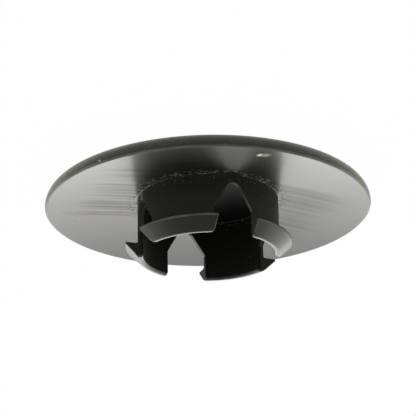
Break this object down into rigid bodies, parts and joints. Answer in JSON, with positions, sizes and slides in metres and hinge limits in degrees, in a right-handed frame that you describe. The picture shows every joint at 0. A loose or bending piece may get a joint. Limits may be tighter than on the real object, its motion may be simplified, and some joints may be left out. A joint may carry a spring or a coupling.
{
  "type": "hinge cap",
  "caption": "Round snap-in hinge cap: a shallow domed disc with a split collar of barbed legs on its hollow underside, moulded in black plastic.",
  "frame": {"origin": "lowest point of the domed outer face, on the axis of the collar", "axes": "+Z along the collar's axis, from the dome towards the tips of the legs; the slots between the legs face along X and Y"},
  "size_m": [0.06, 0.06, 0.0144],
  "materials": {
    "black_plastic": "polished underside and collar, fine matt grain on the outer face and the rim"
  },
  "bodies": {
    "root": {"hinge_cap": "black_plastic"}
  },
  "joints": []
}
